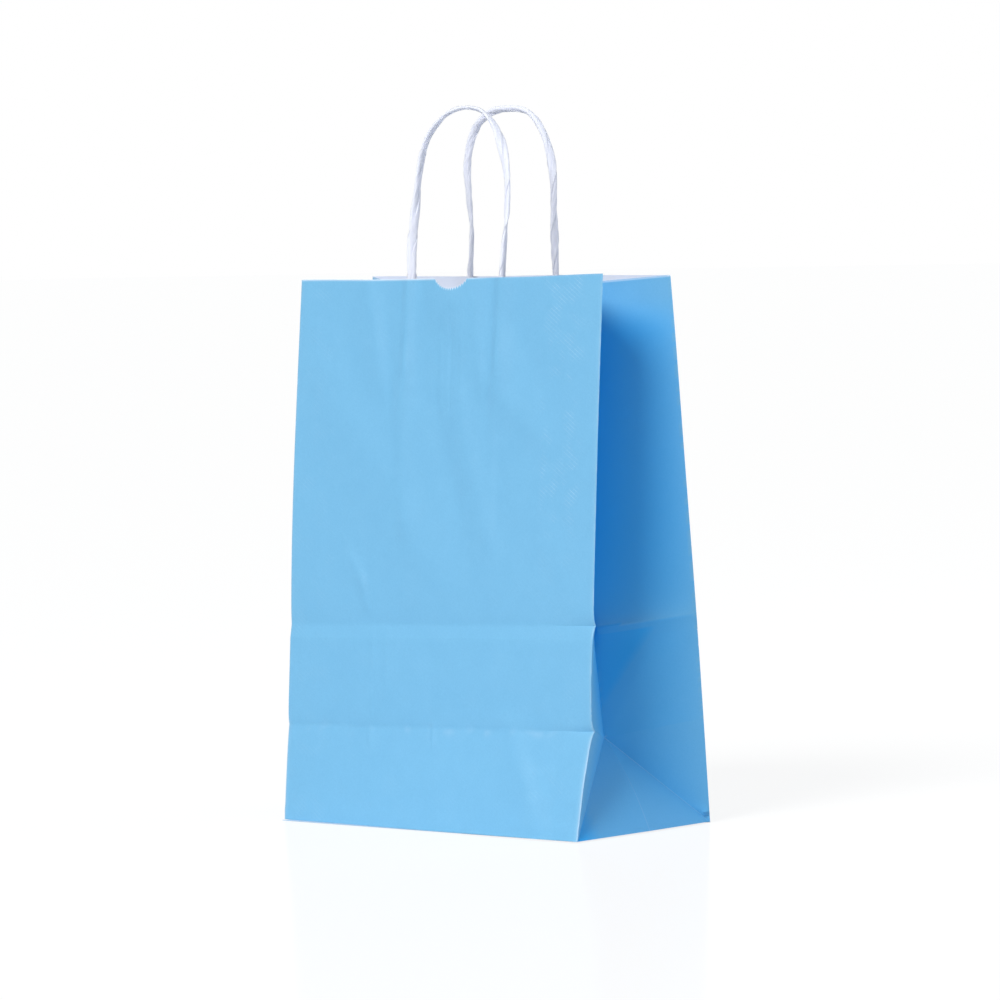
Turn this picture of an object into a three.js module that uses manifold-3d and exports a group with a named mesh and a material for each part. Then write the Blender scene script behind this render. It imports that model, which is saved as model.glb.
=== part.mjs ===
// Small paper carrier bag: one gusseted, block-bottomed sheet of kraft paper and two handles of
// twisted paper cord, each glued between two paper patches inside the mouth.
// Millimetres, +Z up. X runs along the width, the front panel faces -Y, and the origin is the
// middle of the base where it stands on the table.
import * as THREE from 'three';
import { mergeVertices } from 'three/addons/utils/BufferGeometryUtils.js';
import Module from 'manifold-3d';

const wasm = await Module();
wasm.setup();

// The sheet
const bagWidth = 150;
const baseDepth = 80;
const bagHeight = 210;
const paper = 0.2;

// How far the bag stands open
const mouthDepth = 41;
const lowerCreaseInset = 8;
const upperCreaseInset = 10.4;
const gussetVertexHeight = 35;
const lowerBandBow = 0.8;
const middleBandBow = 1.4;
const endCreaseBow = 0.6;

// Glued flaps under the base
const flapOverlap = 15;
const seamGroove = 0.5;
const foldMargin = 0.4;

// Thumb notch in the front edge, cut with a serrated knife
const notchWidth = 16;
const notchDepth = 4.1;
const notchShift = 1;
const toothPitch = 1.1;
const toothDepth = 0.35;
const notchReach = 1;

// Handle cord: a strip of paper twisted into a flattened cord
const cordWidth = 3.2;
const cordThickness = 2;
const wrapStep = 0.3;
const twistPitch = 36;
const legInside = 44;
const cordStep = 2.6;
const sectionSides = 14;

// Paper patches that hold the legs
const patchWidth = 80;
const patchHeight = 42;
const patchDrop = 5;
const patchPaper = 0.2;
const glueGap = 0.3;

// Loops of the two cords above the rim, [across the bag, up the panel]
const frontLoop = [
  [-19.6, 0], [-20.5, 11], [-19.2, 26], [-16.6, 42], [-12.8, 53], [-4.7, 60.8], [5.3, 63.4],
  [14.9, 61], [22.1, 53], [26.5, 39], [27.2, 25], [26.2, 9], [25.7, 0],
];
const backLoop = [
  [-22.2, 0], [-20.9, 9], [-20, 19], [-20.2, 31], [-19, 44], [-13.6, 56.3], [-5.5, 62.3],
  [4.6, 63.3], [14.4, 61.2], [20.9, 52.3], [23.7, 38.4], [22.5, 22], [21.3, 0],
];

const kraftBlue = { color: 0x7ac0eb, roughness: 0.75, metalness: 0 };
const cordWhite = { color: 0xf0f3fa, roughness: 0.6, metalness: 0 };
const patchWhite = { color: 0xe6e8f0, roughness: 0.7, metalness: 0 };

// Sizes that follow from the block-bottom fold
const halfWidth = bagWidth / 2;
const halfDepth = baseDepth / 2;
const lowerCrease = halfDepth;
const upperCrease = baseDepth;
const mouthInset = (baseDepth - mouthDepth) / 2;
const baseLift = 2 * paper;

// Depth below the outer face of the panel at which the pieces inside the mouth lie
const outerPatchDepth = paper + glueGap;
const cordDepth = outerPatchDepth + patchPaper + glueGap;
const cordHalfWidth = cordWidth / 2 + wrapStep;
const cordHalfThickness = cordThickness / 2 + wrapStep;

// Mesh tolerances: vertices this close are one, and a flat panel's own plane carries its offset
const mergeDistance = 1e-4;
const flatPanelSoftening = 1e-6;

function bowed(share, bow) {
  return 4 * bow * share * (1 - share);
}

// Set-back of the front panel from the front edge of the base, band by band up the sheet
function frontInset(height) {
  if (height < lowerCrease) {
    const share = height / lowerCrease;
    return THREE.MathUtils.lerp(0, lowerCreaseInset, share) - bowed(share, lowerBandBow);
  }
  if (height < upperCrease) {
    const share = (height - lowerCrease) / (upperCrease - lowerCrease);
    const straight = THREE.MathUtils.lerp(lowerCreaseInset, upperCreaseInset, share);
    return straight - bowed(share, middleBandBow);
  }
  const share = (height - upperCrease) / (bagHeight - upperCrease);
  return THREE.MathUtils.lerp(upperCreaseInset, mouthInset, share);
}

function sheetHeight(height) {
  return THREE.MathUtils.mapLinear(height, 0, bagHeight, baseLift, bagHeight);
}

function frontY(height) {
  return frontInset(height) - halfDepth;
}

function backY(height) {
  return halfDepth - mouthInset * height / bagHeight;
}

// The four upright fold edges, and the sunken centre crease of each gusset. Each half of a
// gusset is as wide as half the base depth, so closing the mouth drives the crease inwards.
function frontEdge(side, height) {
  return new THREE.Vector3(side * halfWidth, frontY(height), sheetHeight(height));
}

function backEdge(side, height) {
  return new THREE.Vector3(side * halfWidth, backY(height), sheetHeight(height));
}

function gussetReach(height) {
  const halfOpening = (backY(height) - frontY(height)) / 2;
  return Math.sqrt(Math.max(halfDepth ** 2 - halfOpening ** 2, 0));
}

function gussetCrease(side, height) {
  const slant = gussetReach(bagHeight) - gussetReach(gussetVertexHeight);
  const rise = Math.sqrt((bagHeight - lowerCrease) ** 2 - slant ** 2);
  const z = THREE.MathUtils.mapLinear(
    height, lowerCrease, bagHeight, gussetVertexHeight, gussetVertexHeight + rise);
  const y = (frontY(z) + backY(z)) / 2;
  return new THREE.Vector3(side * (halfWidth - gussetReach(z)), y, z);
}

// Diagonal creases from the corners of the base to the gusset's vertex
function diagonal(side, edge, height) {
  const corner = edge(side, 0);
  return corner.lerp(gussetCrease(side, lowerCrease), height / lowerCrease);
}

// The tube's own side crease, which runs on down the end triangle and stands out a little
function endCrease(side, height) {
  const share = height / lowerCrease;
  const foot = new THREE.Vector3(side * halfWidth, 0, sheetHeight(0));
  const point = foot.lerp(gussetCrease(side, lowerCrease), share);
  return point.add(new THREE.Vector3(side * bowed(share, endCreaseBow), 0, 0));
}

function steps(from, to, count) {
  return Array.from({ length: count + 1 }, (_, i) => THREE.MathUtils.lerp(from, to, i / count));
}

// A paper panel between two edge curves. Seen from outside, the first is on its left.
function addPanel(triangles, leftEdge, rightEdge, heights) {
  for (let i = 0; i + 1 < heights.length; i++) {
    const lowLeft = leftEdge(heights[i]);
    const lowRight = rightEdge(heights[i]);
    const highLeft = leftEdge(heights[i + 1]);
    const highRight = rightEdge(heights[i + 1]);
    triangles.push([lowLeft, lowRight, highRight], [lowLeft, highRight, highLeft]);
  }
}

function addBase(triangles) {
  for (const [left, right] of [[frontEdge, endCrease], [endCrease, backEdge]]) {
    triangles.push(
      [left(-1, 0), right(-1, 0), right(1, 0)],
      [left(-1, 0), right(1, 0), left(1, 0)],
    );
  }
}

// The outer face of the folded sheet, open at the mouth
function sheetTriangles() {
  const triangles = [];
  const low = steps(0, lowerCrease, 6);
  const high = [...steps(lowerCrease, upperCrease, 8), ...steps(upperCrease, bagHeight, 10).slice(1)];
  const whole = [...low, ...high.slice(1)];
  addPanel(triangles, (h) => frontEdge(-1, h), (h) => frontEdge(1, h), whole);
  addPanel(triangles, (h) => backEdge(1, h), (h) => backEdge(-1, h), whole);
  for (const side of [1, -1]) {
    const front = (h) => frontEdge(side, h);
    const back = (h) => backEdge(side, h);
    const gusset = (h) => gussetCrease(side, h);
    const frontDiagonal = (h) => diagonal(side, frontEdge, h);
    const middle = (h) => endCrease(side, h);
    const backDiagonal = (h) => diagonal(side, backEdge, h);
    const panels = [
      [front, gusset, high], [gusset, back, high], [front, frontDiagonal, low],
      [frontDiagonal, middle, low], [middle, backDiagonal, low], [backDiagonal, back, low],
    ];
    for (const [first, second, heights] of panels) {
      if (side > 0) {
        addPanel(triangles, first, second, heights);
      } else {
        addPanel(triangles, second, first, heights);
      }
    }
  }
  addBase(triangles);
  return triangles;
}

function indexedSheet(triangles) {
  const real = triangles.filter(([a, b, c]) => new THREE.Triangle(a, b, c).getArea() > mergeDistance ** 2);
  const geometry = new THREE.BufferGeometry().setFromPoints(real.flat());
  return mergeVertices(geometry, mergeDistance);
}

// The move of one vertex that puts every panel meeting there one thickness further in
function inwardMove(normals, thickness) {
  const sum = normals.reduce((total, n) => total.add(n), new THREE.Vector3());
  const matrix = new THREE.Matrix3().multiplyScalar(flatPanelSoftening * normals.length);
  for (const normal of normals) {
    const n = normal.toArray();
    n.forEach((a, i) => n.forEach((b, j) => { matrix.elements[3 * i + j] += a * b; }));
  }
  return sum.applyMatrix3(matrix.invert()).multiplyScalar(-thickness);
}

// Gives a folded sheet its thickness on the inside, and closes it along its free edges
function thicken(sheet, thickness) {
  const position = sheet.attributes.position;
  const faces = Array.from(sheet.index.array);
  const outer = [];
  for (let i = 0; i < position.count; i++) {
    outer.push(new THREE.Vector3().fromBufferAttribute(position, i));
  }
  const normals = outer.map(() => []);
  const edges = new Map();
  for (let i = 0; i < faces.length; i += 3) {
    const [a, b, c] = faces.slice(i, i + 3);
    const normal = new THREE.Triangle(outer[a], outer[b], outer[c]).getNormal(new THREE.Vector3());
    for (const [from, to] of [[a, b], [b, c], [c, a]]) {
      normals[from].push(normal);
      edges.set(`${from},${to}`, [from, to]);
    }
  }
  const inner = outer.map((point, i) => inwardMove(normals[i], thickness).add(point));
  const count = outer.length;
  const triangles = [...faces];
  for (let i = 0; i < faces.length; i += 3) {
    triangles.push(faces[i] + count, faces[i + 2] + count, faces[i + 1] + count);
  }
  for (const [from, to] of edges.values()) {
    if (!edges.has(`${to},${from}`)) {
      triangles.push(from, from + count, to + count, from, to + count, to);
    }
  }
  const solid = new THREE.BufferGeometry().setFromPoints([...outer, ...inner]);
  return solid.setIndex(triangles);
}

function toManifold(geometry) {
  const bare = geometry.clone();
  bare.deleteAttribute('normal');
  bare.deleteAttribute('uv');
  const merged = mergeVertices(bare, mergeDistance);
  return new wasm.Manifold(new wasm.Mesh({
    numProp: 3,
    vertProperties: new Float32Array(merged.attributes.position.array),
    triVerts: new Uint32Array(merged.index.array),
  }));
}

function fromManifold(solid) {
  const mesh = solid.getMesh();
  const geometry = new THREE.BufferGeometry();
  geometry.setAttribute('position', new THREE.BufferAttribute(new Float32Array(mesh.vertProperties), 3));
  geometry.setIndex(Array.from(mesh.triVerts));
  return geometry;
}

// A bottom flap: its corners run in at 45 degrees along the diagonal folds
function flap(side, reach) {
  const outline = new THREE.Shape();
  const edge = halfDepth - foldMargin;
  const across = halfWidth - 2 * foldMargin;
  outline.moveTo(-across, -edge);
  outline.lineTo(across, -edge);
  outline.lineTo(across - (edge + reach), reach);
  outline.lineTo(-across + (edge + reach), reach);
  const solid = new THREE.ExtrudeGeometry(outline, { depth: baseLift + paper / 2, bevelEnabled: false });
  return side < 0 ? solid : solid.rotateZ(Math.PI);
}

// The notch's cutter, drawn in the plane of the front panel with the rim along y = 0
function notchCutter() {
  const radius = ((notchWidth / 2) ** 2 + notchDepth ** 2) / (2 * notchDepth);
  const halfAngle = Math.asin(notchWidth / 2 / radius);
  const teeth = Math.round(2 * halfAngle * radius / toothPitch);
  const outline = new THREE.Shape();
  outline.moveTo(-notchWidth / 2, notchReach);
  for (let i = 0; i <= 2 * teeth; i++) {
    const angle = THREE.MathUtils.lerp(-halfAngle, halfAngle, i / (2 * teeth));
    const reach = radius - (i % 2) * toothDepth;
    outline.lineTo(reach * Math.sin(angle), radius - notchDepth - reach * Math.cos(angle));
  }
  outline.lineTo(notchWidth / 2, notchReach);
  const cutter = new THREE.ExtrudeGeometry(outline, { depth: 2 * notchReach, bevelEnabled: false });
  return cutter.translate(notchShift, 0, -notchReach);
}

// The plane of a panel at the mouth: x across, y up the paper, z out of the bag
function mouthFrame(side, edgeY) {
  const run = edgeY(bagHeight) - edgeY(upperCrease);
  const rise = sheetHeight(bagHeight) - sheetHeight(upperCrease);
  const frame = new THREE.Group();
  frame.position.set(0, edgeY(bagHeight), bagHeight);
  const up = new THREE.Vector3(0, run, rise).normalize();
  const across = new THREE.Vector3(-side, 0, 0);
  const out = new THREE.Vector3().crossVectors(across, up);
  frame.quaternion.setFromRotationMatrix(new THREE.Matrix4().makeBasis(across, up, out));
  frame.updateMatrix();
  return frame;
}

function bagBody(frontFrame) {
  const sheet = toManifold(thicken(indexedSheet(sheetTriangles()), paper));
  const frontFlap = toManifold(flap(-1, -flapOverlap / 2 - seamGroove));
  const backFlap = toManifold(flap(1, flapOverlap / 2));
  const cutter = toManifold(notchCutter().applyMatrix4(frontFrame.matrix));
  return fromManifold(sheet.add(frontFlap).add(backFlap).subtract(cutter));
}

// Section of the cord: a flattened round whose outer edge steps down where the strip ends
function cordSection() {
  const points = [];
  for (let i = 0; i < sectionSides; i++) {
    const angle = 2 * Math.PI * i / (sectionSides - 1);
    const step = wrapStep * (1 - i / (sectionSides - 1));
    const along = cordWidth / 2 + step;
    const through = cordThickness / 2 + step;
    points.push(new THREE.Vector2(along * Math.cos(angle), through * Math.sin(angle)));
  }
  return new THREE.Shape(points);
}

// The cord's centre line in the plane of its panel, from the end of one leg to the other's
function cordRoute(loop) {
  const [firstLeg] = loop[0];
  const [lastLeg] = loop[loop.length - 1];
  const points = [
    [firstLeg, -legInside], [firstLeg, -legInside / 2], ...loop,
    [lastLeg, -legInside / 2], [lastLeg, -legInside],
  ].map(([x, y]) => new THREE.Vector3(x, y, 0));
  return new THREE.CatmullRomCurve3(points, false, 'centripetal');
}

// The legs lie flat between the patches, and the loop between them is twisted by half turns
function twistAt(distance, length) {
  const free = length - 2 * legInside;
  const halfTurns = Math.max(1, Math.round(2 * free / twistPitch));
  const share = THREE.MathUtils.clamp((distance - legInside) / free, 0, 1);
  return Math.PI * halfTurns * share;
}

function handleCord(loop) {
  const route = cordRoute(loop);
  route.arcLengthDivisions = 800;
  const length = route.getLength();
  const bar = new THREE.ExtrudeGeometry(cordSection(), {
    depth: length, steps: Math.round(length / cordStep), bevelEnabled: false,
  });
  const position = bar.attributes.position;
  const out = new THREE.Vector3(0, 0, 1);
  for (let i = 0; i < position.count; i++) {
    const share = THREE.MathUtils.clamp(position.getZ(i) / length, 0, 1);
    const turn = twistAt(share * length, length);
    const point = new THREE.Vector2(position.getX(i), position.getY(i));
    point.rotateAround(new THREE.Vector2(), turn);
    const across = new THREE.Vector3().crossVectors(out, route.getTangentAt(share)).normalize();
    const place = route.getPointAt(share).addScaledVector(across, point.x).addScaledVector(out, point.y);
    position.setXYZ(i, place.x, place.y, place.z);
  }
  return bar.translate(0, 0, -cordDepth - cordHalfThickness);
}

// A patch is a flat strip. The inner one rises over each leg in a half-oval channel.
function patchSolid(profile) {
  const outline = new THREE.Shape(profile);
  const strip = new THREE.ExtrudeGeometry(outline, { depth: patchHeight, bevelEnabled: false });
  return strip.rotateX(Math.PI / 2).translate(0, -patchDrop, 0);
}

function outerPatch(centre) {
  const left = centre - patchWidth / 2;
  const right = centre + patchWidth / 2;
  const top = -outerPatchDepth;
  const bottom = top - patchPaper;
  const corners = [[left, bottom], [right, bottom], [right, top], [left, top]];
  return patchSolid(corners.map(([x, y]) => new THREE.Vector2(x, y)));
}

function channelled(legs, centre, extra) {
  const level = -cordDepth - extra;
  const halfChannel = 1.25 * (cordHalfWidth + glueGap) + extra;
  const rise = 2 * cordHalfThickness + glueGap;
  const points = [new THREE.Vector2(centre - patchWidth / 2, level)];
  for (const leg of legs) {
    for (const angle of steps(0, Math.PI, 10)) {
      points.push(new THREE.Vector2(leg - halfChannel * Math.cos(angle), level - rise * Math.sin(angle)));
    }
  }
  points.push(new THREE.Vector2(centre + patchWidth / 2, level));
  return points;
}

function innerPatch(legs, centre) {
  const lower = channelled(legs, centre, patchPaper);
  const upper = channelled(legs, centre, 0);
  return patchSolid([...lower, ...upper.reverse()]);
}

function piece(name, geometry, look) {
  const mesh = new THREE.Mesh(geometry, new THREE.MeshStandardMaterial(look));
  mesh.name = name;
  return mesh;
}

function handleSet(name, frame, loop) {
  const legs = [loop[0][0], loop[loop.length - 1][0]].sort((a, b) => a - b);
  const centre = (legs[0] + legs[1]) / 2;
  frame.add(piece(`${name}_outer_patch`, outerPatch(centre), patchWhite));
  frame.add(piece(`${name}_handle`, handleCord(loop), cordWhite));
  frame.add(piece(`${name}_inner_patch`, innerPatch(legs, centre), patchWhite));
  return frame;
}

const frontFrame = mouthFrame(-1, frontY);
const backFrame = mouthFrame(1, backY);
const backLoopFromOutside = backLoop.map(([x, y]) => [-x, y]);

const bag = new THREE.Group();
bag.add(piece('bag_body', bagBody(frontFrame), kraftBlue));
bag.add(handleSet('front', frontFrame, frontLoop));
bag.add(handleSet('back', backFrame, backLoopFromOutside));

export default bag;
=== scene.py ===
"""A small light-blue kraft paper carrier bag with gusseted sides, a folded block bottom, a thumb
notch and two handles of white twisted paper, standing open on a white table."""
import math

import bmesh
import bpy
from mathutils import Matrix, Vector, noise


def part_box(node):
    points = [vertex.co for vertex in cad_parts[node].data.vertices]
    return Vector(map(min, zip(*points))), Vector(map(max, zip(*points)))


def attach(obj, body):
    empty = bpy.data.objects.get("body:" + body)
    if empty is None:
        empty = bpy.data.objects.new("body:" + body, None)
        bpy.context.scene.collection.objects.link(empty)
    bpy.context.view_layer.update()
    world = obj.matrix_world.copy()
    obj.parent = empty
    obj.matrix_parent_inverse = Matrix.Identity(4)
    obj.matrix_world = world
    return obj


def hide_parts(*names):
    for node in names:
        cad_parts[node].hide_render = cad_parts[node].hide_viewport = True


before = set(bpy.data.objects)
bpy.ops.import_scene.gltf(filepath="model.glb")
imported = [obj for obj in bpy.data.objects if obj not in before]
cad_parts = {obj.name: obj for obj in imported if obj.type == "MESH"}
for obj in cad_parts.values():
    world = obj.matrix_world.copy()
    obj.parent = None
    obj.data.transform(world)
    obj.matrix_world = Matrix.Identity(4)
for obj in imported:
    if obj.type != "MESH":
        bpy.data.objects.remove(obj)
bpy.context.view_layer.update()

# Sizes are in millimetres until a vertex is placed
MM = 0.001
BODY = "root"

BAG_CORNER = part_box("bag_body")[1]
HALF_WIDTH = BAG_CORNER[0] / MM
HALF_DEPTH = BAG_CORNER[1] / MM
HEIGHT = BAG_CORNER[2] / MM
PAPER = 0.16

# How far up the sheet the block bottom's two creases cross the front panel
LOWER_CREASE = HALF_DEPTH
UPPER_CREASE = 2 * HALF_DEPTH

# The flaps glued under the base hold it this far above the table
BASE_LIFT = 0.45

# Camera at the photograph's viewing angle
CAMERA_PLACE = (1.3353, -1.5536, 0.2219)
CAMERA_AZIMUTH = 40.55
CAMERA_ELEVATION = 2.75
CAMERA_ROLL = -1.18
CAMERA_LENS = 192.9


def aimed(azimuth, elevation):
    """The turn of a camera or lamp that looks inwards from this azimuth and elevation."""
    turn = Matrix.Rotation(math.radians(azimuth), 4, "Z")
    tilt = Matrix.Rotation(math.radians(90 - elevation), 4, "X")
    return turn @ tilt


def add_camera():
    camera = bpy.data.objects.new("photo_camera", bpy.data.cameras.new("photo_camera"))
    bpy.context.scene.collection.objects.link(camera)
    camera.data.sensor_width = 36
    camera.data.lens = CAMERA_LENS
    camera.data.clip_end = 100
    roll = Matrix.Rotation(math.radians(CAMERA_ROLL), 4, "Z")
    aim = aimed(CAMERA_AZIMUTH, CAMERA_ELEVATION)
    camera.matrix_world = Matrix.Translation(CAMERA_PLACE) @ aim @ roll
    bpy.context.scene.camera = camera


# Small maths helpers
def mix(a, b, share):
    return a + (b - a) * share


def smoothstep(share):
    share = min(max(share, 0), 1)
    return share * share * (3 - 2 * share)


def spaced(start, end, step):
    """Even steps from start up to, but not including, end."""
    count = max(1, round((end - start) / step))
    return [mix(start, end, i / count) for i in range(count)]


def curve_through(stations, at):
    """A smooth curve through (height, value) stations, straight beyond its ends."""
    last = len(stations) - 2
    k = 0
    while k < last and at > stations[k + 1][0]:
        k += 1

    def slope(i):
        below, above = stations[max(i - 1, 0)], stations[min(i + 1, last + 1)]
        return (above[1] - below[1]) / (above[0] - below[0])

    (start, value), (end, next_value) = stations[k], stations[k + 1]
    step = end - start
    share = (at - start) / step
    leave = slope(k) * step - (next_value - value)
    arrive = (next_value - value) - slope(k + 1) * step
    bend = leave * (1 - share) + arrive * share
    return mix(value, next_value, share) + share * (1 - share) * bend


def wrinkle(x, y, size, seed):
    """Smooth noise from -1 to 1 whose bumps are about size across."""
    return noise.noise(Vector((x / size, y / size, seed)))


# The four upright folds, as (height up the sheet, distance from the middle of the bag)
FRONT_RIGHT = [(0, -41), (10, -39), (20, -36.9), (32, -33.8), (44, -31.8), (60, -31.1),
               (80, -29.5), (95, -28.4), (111, -27.3), (155, -24.1), (210, -19.6)]
FRONT_LEFT = [(0, -37.9), (20, -36.3), (42, -34.6), (80, -32), (116, -29.9), (147, -27.4), (210, -21.2)]
BACK_RIGHT = [(0, 38.4), (40, 35.6), (85, 32.1), (138, 27.3), (184, 23.2), (210, 20.6)]
BACK_LEFT = [(0, 40), (40, 36.4), (85, 32.4), (138, 27.2), (184, 22.8), (210, 20.2)]

# The block bottom was folded up against the front panel, which left two creases across it. Each
# runs askew, from its left height to its right one.
LOWER_CREASE_ENDS = (37.3, 40.3)
UPPER_CREASE_ENDS = (75.9, 79.5)
CREASE_BAND = 5.5

# How far a crease sinks into the panel, how far its end is pinched in at the right fold, and how
# far the pinch reaches up and down, and across as a share of the panel
LOWER_DIP = 0.75
LOWER_PINCH = 1.9
LOWER_PINCH_REACH = 2.4
UPPER_DIP = 0.65
UPPER_DIP_GROWTH = 0.4
UPPER_PINCH = 1.3
UPPER_PINCH_REACH = 2
PINCH_SHARE = 0.05

# How far the paper rounds off at an upright fold, over how wide a strip
FOLD_ROUNDING = 0.35
FOLD_STRIP = 0.9

# The height of each rim at its left and right end, and how far the front one sags between them
RIM_ENDS = (209.1, 209.7)
BACK_RIM_ENDS = (209.5, 208.6)
RIM_SAG = 0.6

# The thumb notch
NOTCH_CENTRE = 2.4
NOTCH_HALF_WIDTH = 8.3
NOTCH_DEPTH = 4.1
TOOTH_PITCH = 1.1
TOOTH_DEPTH = 0.42


def tooth_height(x):
    """The notch's teeth, from 0 in the gap between two to 1 at a tip."""
    return abs((x - NOTCH_CENTRE) / TOOTH_PITCH % 1 - 0.5) * 2


def notch_cut(x):
    """How far the serrated thumb notch cuts down from the rim at x."""
    radius = (NOTCH_HALF_WIDTH ** 2 + NOTCH_DEPTH ** 2) / (2 * NOTCH_DEPTH)
    off = abs(x - NOTCH_CENTRE)
    if off >= NOTCH_HALF_WIDTH:
        return 0
    arc = math.sqrt(radius ** 2 - off ** 2) - (radius - NOTCH_DEPTH)
    return arc - TOOTH_DEPTH * tooth_height(x) * min(1, arc / TOOTH_DEPTH)


def front_rim(x):
    share = (x + HALF_WIDTH) / (2 * HALF_WIDTH)
    sag = RIM_SAG * smoothstep((x + HALF_WIDTH) / 50) * smoothstep((HALF_WIDTH - x) / 38)
    return mix(*RIM_ENDS, share) - sag


def front_height(x, up):
    """Height above the table of a point of the front panel, which the skewed creases shift."""
    share = (x + HALF_WIDTH) / (2 * HALF_WIDTH)
    lower = mix(*LOWER_CREASE_ENDS, share) + 0.25 * wrinkle(x, 0, 11, 3.1)
    upper = mix(*UPPER_CREASE_ENDS, share) + 0.12 * wrinkle(x, 0, 15, 7.7)
    if up <= LOWER_CREASE:
        return mix(BASE_LIFT, lower, up / LOWER_CREASE)
    if up <= UPPER_CREASE:
        return mix(lower, upper, (up - LOWER_CREASE) / (UPPER_CREASE - LOWER_CREASE))
    return mix(upper, front_rim(x) - notch_cut(x), (up - UPPER_CREASE) / (HEIGHT - UPPER_CREASE))


# Soft folds pressed into the front panel by the handle's legs and patches, each from (x, height)
# to (x, height), with its width to the left and right of its crest and how far it stands out
FRONT_FOLDS = [
    ((-19.4, 214), (-19.3, 177), 2.7, 2.8, 0.7),
    ((-19.2, 214), (-19.6, 163), 3, 3.2, 0.5),
    ((-19.2, 178), (-18.6, 172), 2.4, 3, 0.3),
    ((27, 214), (26.6, 178), 2.9, 5, 0.9),
    ((26.9, 214), (25.8, 160), 3.2, 6.5, 0.8),
    ((27.2, 177), (28, 172), 2.4, 3.2, 0.25),
    ((14, 206), (15.5, 182), 10, 5, 0.8),
    ((-40, 206), (-32, 172), 7, 4, 0.8),
    ((-31, 206), (-27.5, 170), 4, 3, -0.35),
    ((-22, 166), (-17, 118), 3.5, 6, 0.7),
    ((-4, 160), (12, 112), 7, 6, -0.7),
    ((8, 158), (22.5, 112), 10, 5, 0.9),
    ((27.2, 150), (27.6, 118), 1.8, 4, -0.4),
    ((26, 166), (46, 150), 4, 6, 0.6),
    ((33, 190), (46, 172), 6, 9, -0.6),
    ((-60, 172), (-14, 112), 14, 9, 0.9),
    ((1.5, 216), (1.5, 204), 10, 8, 2.5),
    ((-8, 182), (-7, 163), 1.1, 1.3, 0.22),
    ((-2, 184), (-1.6, 160), 1.2, 1.2, 0.2),
    ((2.5, 196), (3.4, 160), 1.2, 1.5, -0.3),
    ((8, 184), (8.4, 166), 1.3, 1.7, 0.28),
    ((14, 200), (14.6, 186), 1.3, 1.6, 0.25),
    ((17.5, 182), (18, 164), 1.2, 1.4, 0.3),
    ((-42, 101), (-37.5, 93), 3.5, 1.3, 0.6),
    ((-37.5, 93), (-35.5, 85), 2.6, 1.1, 0.5),
    ((-32.6, 72), (-32.8, 44), 0.9, 1.1, 0.2),
    ((-26, 74), (-25.5, 52), 1.1, 1.6, 0.16),
    ((57, 104), (66, 88), 6, 6, 0.5),
    ((38, 37), (52, 10), 8, 5, 1.0),
    ((46, 24), (51, 14), 3, 2.4, 0.3),
    ((60, 34), (62, 6), 2.4, 3, -0.35),
    ((-2, 39), (-1, 33), 0.9, 1.6, 0.35),
    ((-34, 38), (-33, 33), 0.9, 1.4, 0.3),
]

# The same for the back panel
BACK_FOLDS = [
    ((-22.2, 214), (-22, 172), 2.8, 3.2, 0.7),
    ((21.1, 214), (21.3, 170), 3, 3, 0.8),
    ((-34, 206), (-42, 176), 6, 6, 0.5),
    ((-2, 200), (-4, 170), 6, 5, -0.4),
    ((30, 172), (48, 150), 6, 8, 0.6),
    ((-18, 164), (-26, 120), 5, 8, 0.6),
    ((6, 150), (0, 104), 8, 8, -0.5),
    ((-58, 150), (-30, 96), 12, 9, 0.7),
    ((36, 84), (44, 66), 5, 3, 0.4),
    ((-48, 36), (-58, 12), 6, 7, 0.6),
    ((52, 30), (60, 8), 6, 5, 0.5),
]


def fold_relief(x, z, folds):
    """How far the soft folds together stand out of a panel at (x, z)."""
    total = 0
    for start, end, left, right, height in folds:
        along = Vector(end) - Vector(start)
        length = along.length
        along /= length
        offset = Vector((x, z)) - Vector(start)
        run = offset.dot(along)
        off = offset.x * -along.y + offset.y * along.x
        width = left if off < 0 else right
        beyond = max(-run, run - length, 0) / (left + right)
        total += height * math.exp(-(off / width) ** 2 - beyond ** 2)
    return total


def lower_crease_dip(up):
    """The lower crease: a short steep lip above it and a long soft slope below it."""
    off = up - LOWER_CREASE
    return math.exp(-off / 2.6) if off > 0 else math.exp(off / 9)


def upper_crease_dip(up):
    """The upper crease: a curve above it, and below it a flat band that ends in a second fold."""
    off = up - UPPER_CREASE
    return math.exp(-off / 5.5) if off > 0 else max(0, 1 + off / CREASE_BAND)


def inside_panel(x):
    """1 over most of a panel, falling to 0 at its upright folds, which hold the paper straight."""
    return smoothstep((1 - abs(x) / HALF_WIDTH) / 0.15)


def front_point(x, up):
    """A point of the front panel's outer face."""
    share = (x + HALF_WIDTH) / (2 * HALF_WIDTH)
    z = front_height(x, up)
    y = mix(curve_through(FRONT_LEFT, up), curve_through(FRONT_RIGHT, up), share)
    pinch = math.exp(-(1 - share) / PINCH_SHARE)
    lower_pinch = pinch * math.exp(-abs(up - LOWER_CREASE) / LOWER_PINCH_REACH)
    upper_pinch = pinch * math.exp(-abs(up - UPPER_CREASE) / UPPER_PINCH_REACH)
    y += LOWER_DIP * lower_crease_dip(up) + LOWER_PINCH * lower_pinch
    y += (UPPER_DIP + UPPER_DIP_GROWTH * share) * upper_crease_dip(up) * (1 - 0.6 * pinch)
    y += UPPER_PINCH * upper_pinch

    # The edge of the flap that is glued behind the panel's foot shows as a hair-fine ridge
    y -= 0.14 * math.exp(-((up - 4.2) / 0.8) ** 2)

    # The pressed folds, and the sheet's own waves, 40 and 13 mm long
    inside = inside_panel(x)
    y -= inside * fold_relief(x, z, FRONT_FOLDS)
    y -= inside * 0.45 * wrinkle(x, z, 40, 1.3)
    y -= inside * 0.09 * wrinkle(x, z, 13, 5.9)
    y += FOLD_ROUNDING * smoothstep(1 - (HALF_WIDTH - abs(x)) / FOLD_STRIP) ** 2
    return Vector((x, y, z))


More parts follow.
